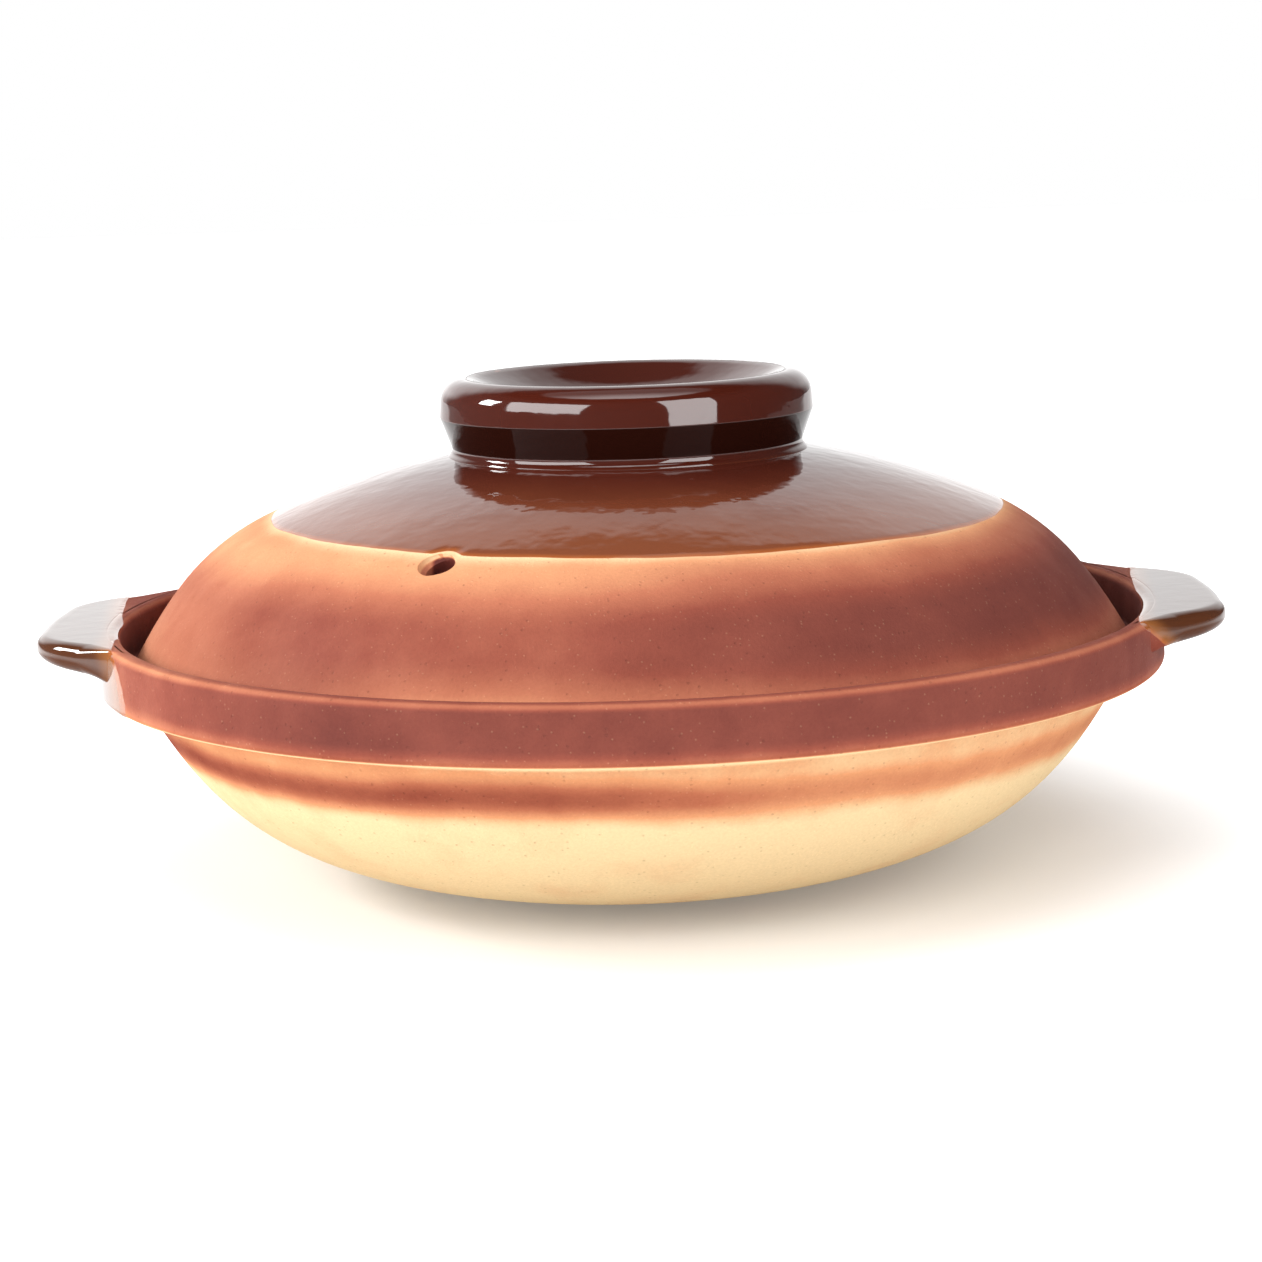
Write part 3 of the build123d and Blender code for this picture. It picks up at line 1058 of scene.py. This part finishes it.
def bowl_wash(nodes, place, cloud, halo):
    """Cream foot, a cloudy band, and a browned collar with a paler lower edge."""
    x, y, z = nodes.axes(nodes.vector("SCALE", place, Scale=1 / MM))
    height = nodes.plus(z, uneven(nodes, nodes.noise(place, Scale=14.0, Detail=3.0), 9))
    collar = between(nodes, z, 51.4, 52.4)

    low = nodes.math("POWER", between(nodes, height, 31.8, 40.8), 1.4)
    more_left = between(nodes, x, -20, 45, 1.0, 0.50)
    band = nodes.times(low, more_left, between(nodes, height, 41.5, 47.5, 0.70, 0.26))
    pale_line = nodes.times(between(nodes, z, 48.7, 50.6, 0.0, 0.8),
                            between(nodes, x, 10, 70, 1.0, 0.45))

    rim = nodes.minus(between(nodes, z, 52, 56, 0.62, 0.90),
                      between(nodes, z, 63.7, 65.2, 0.0, 0.34))
    rim = nodes.plus(rim, between(nodes, z, 65.2, 65.7, 0.0, 0.20))
    front_left = nodes.times(between(nodes, x, -60, -120, 0.0, 0.16),
                             between(nodes, y, -60, -20, 1.0, 0.0))

    wash = nodes.times(nodes.minus(band, pale_line), nodes.minus(1.0, collar))
    wash = nodes.plus(wash, nodes.times(collar, nodes.minus(rim, front_left)))
    wash = nodes.plus(wash, uneven(nodes, cloud, 0.32))
    beside_glaze = nodes.times(halo, nodes.minus(0.25, nodes.times(collar, 0.17)))
    return nodes.minus(wash, beside_glaze, clamp=True)


pot_clay = clay_and_glaze("pot_clay", bowl_wash, lug_colours, 6 * MM, 35 * MM, 0.10 * MM)
print("Material:", pot_clay.name)

# %% The lid's wash, and painted shade in the steam hole
hole_dark_depth = 6 * MM


def hole_shadow(nodes, place, x):
    """Painted shade that darkens the steam hole's inside, less on the flank that the stick wiped.
    """
    inner = slanted(mouth, -90 - hole_slope, hole_dark_depth)
    inner_x, inner_y = polar(inner[0], hole_turn)
    away = nodes.vector("DISTANCE", place, (inner_x, inner_y, inner[1]))
    flank = inner_x / MM
    return nodes.times(between(nodes, away, 6.9 * MM, 6.1 * MM),
                       between(nodes, x, flank - 3.4, flank - 1.8, 0.3, 1.0))


def lid_wash_and_shade(nodes, place, cloud, halo):
    """Browned most half way down, paler at the edge and beside the glaze, with painted shade in the
    steam hole.
    """
    x, _, z = nodes.axes(nodes.vector("SCALE", place, Scale=1 / MM))
    middle = between(nodes, z, 90, 77, 0.30, 0.76)
    edge = nodes.times(between(nodes, z, 72, 61, 0.0, 0.32),
                       between(nodes, x, -100, -30, 0.1, 1.0))
    sides = nodes.plus(between(nodes, x, -120, -70, -0.24, -0.02),
                       between(nodes, x, -20, 70, 0.0, 0.16))
    sides = nodes.times(sides, between(nodes, z, 94, 85))
    wash = nodes.plus(nodes.minus(middle, edge), sides)
    wash = nodes.plus(wash, uneven(nodes, nodes.noise(place, Scale=9.0, Detail=3.0), 0.45))
    wash = nodes.plus(wash, uneven(nodes, cloud, 0.25))
    wash = nodes.minus(wash, nodes.times(halo, 0.22), clamp=True)
    # The painted shade inside the steam hole goes on top of the wash.
    return nodes.plus(wash, hole_shadow(nodes, place, x), clamp=True)


lid_clay = clay_and_glaze("lid_clay", lid_wash_and_shade, lid_colours, 42 * MM, 70 * MM, 0.40 * MM)
print("Material:", lid_clay.name)


# %% Finishes on their pieces
def dress(piece, material, body, slot, *nodes):
    """Give a piece its material and its body, and hide the CAD nodes that it stands for; the slot
    is not used.
    """
    piece.data.materials.clear()
    piece.data.materials.append(material)
    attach(piece, body)
    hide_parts(*nodes)
    print(piece.name, "rides on the", body)


dress(bowl, pot_clay, "pot", "clay_body", "bowl")
dress(lug_left, pot_clay, "pot", "brown_glaze", "handle_left")
dress(lug_right, pot_clay, "pot", "brown_glaze", "handle_right")
dress(lid, lid_clay, "lid", "clay_lid", "lid")
dress(knob, brown_glaze, "lid", "brown_glaze", "lid_knob")

# %% [markdown]
# The studio
#
# A glossy pot shows the room that it stands in. It stands on a pale table in a bright tent
# that is open towards the camera, so that the glaze mirrors white from behind and above and
# stays dark in front, and two softboxes beside the camera leave their shapes on the knob.

# %% The table
table_size = 12


def add_table():
    """A wide pale table top that glows white behind and beside the pot: painted light, which also
    lightens its shadows there.
    """
    bpy.ops.mesh.primitive_plane_add(size=table_size, location=(0, 0, 0))
    table = bpy.context.object
    table.name = "table_top"
    material, nodes, shader = new_material("pale_table")
    place = nodes.add("ShaderNodeTexCoord").outputs["Object"]
    x, y, _ = nodes.axes(place)
    colour = mixed(nodes, nodes.noise(place, Scale=3.0), srgb(214, 214, 214), srgb(220, 220, 219))
    in_front = nodes.minus(nodes.math("ABSOLUTE", x), nodes.times(y, 0.6))
    # Painted light: the table glows, dim under the pot, bright behind and beside it, and not in
    # front.
    glow = nodes.times(between(nodes, nodes.vector("LENGTH", place), 0.10, 0.24, 0.15, 0.95),
                       between(nodes, in_front, 0.35, 0.75, 1.0, 0.0))
    nodes.feed(shader, "Base Color", colour)
    nodes.feed(shader, "Emission Strength", glow)
    shader.inputs["Emission Color"].default_value = (1, 1, 1, 1)
    shader.inputs["Roughness"].default_value = 0.9
    shader.inputs["Specular IOR Level"].default_value = 0.2
    table.data.materials.append(material)
    return table


print("Stage:", add_table().name)


# %% The tent
def tent_light(nodes):
    """The tent's brightness by direction: Z is up and -Y is towards the camera."""
    x, y, z = nodes.axes(nodes.add("ShaderNodeTexCoord").outputs["Generated"])
    level = nodes.math("SQRT", nodes.minus(1.0, nodes.times(z, z)))
    width = nodes.over(y, nodes.plus(level, 0.001))
    opening = nodes.minus(width, between(nodes, z, 0.0, 0.30, 0.18, 0.0))
    back = between(nodes, opening, 0.60, 0.85, 0.08, 1.0)
    rising = between(nodes, z, 0.02, 0.32, 1.85, 1.45)
    fading = between(nodes, z, 0.50, 0.70, 1.0, 0.58)
    above = between(nodes, z, 0.70, 0.775, 1.0, 0.08)
    side = nodes.minus(1.10, nodes.times(x, 0.5))
    wall = nodes.times(back, side, rising, fading, above)
    roof = nodes.times(between(nodes, z, 0.87, 0.90), between(nodes, y, -0.45, 0.12, 4.8, 0.6))
    return nodes.plus(wall, roof)


def add_tent():
    """The world: white to the eye, and the tent's light to everything else."""
    world = bpy.data.worlds.new("tent")
    world.use_nodes = True
    bpy.context.scene.world = world
    world.node_tree.nodes.clear()
    nodes = Nodes(world.node_tree)
    light = nodes.add("ShaderNodeBackground", Strength=tent_light(nodes))
    white = nodes.add("ShaderNodeBackground", Color=(1, 1, 1, 1), Strength=1.0)
    seen = nodes.add("ShaderNodeLightPath").outputs["Is Camera Ray"]
    both = nodes.add("ShaderNodeMixShader", Fac=seen, i1=light.outputs[0], i2=white.outputs[0])
    nodes.add("ShaderNodeOutputWorld", Surface=both.outputs[0])
    return world


print("World:", add_tent().name)

# %% Softboxes
aim_height = 0.10


def add_softbox(name, azimuth, elevation, distance, width, height, radiance):
    """A panel that faces the pot; azimuth 0 is in front and grows to the right."""
    data = bpy.data.lights.new(name, "AREA")
    data.shape = "RECTANGLE"
    data.size, data.size_y = width, height
    data.energy = radiance * pi * width * height
    lamp = in_scene(name, data)
    turn, rise = radians(azimuth), radians(elevation)
    level = distance * cos(rise)
    lamp.location = (level * sin(turn), -level * cos(turn), aim_height + distance * sin(rise))
    lamp.rotation_euler = (pi / 2 - rise, 0, turn)
    lamp.visible_camera = False
    print(name, "gives", round(data.energy, 1), "W")


add_softbox("left_panel", -52, 22, distance=0.95, width=0.88, height=0.54, radiance=7)
add_softbox("right_panel", 39, 22, distance=0.50, width=0.27, height=0.36, radiance=6)
add_softbox("side_lamp", -98, 24, distance=1.2, width=0.25, height=0.30, radiance=32)

# %% [markdown]
# The picture
#
# The picture keeps plain colours, as a shop's photograph does.

# %% The picture's tone
view = bpy.context.scene.view_settings
view.view_transform = "Standard"
view.look = "None"
print("View transform:", view.view_transform)
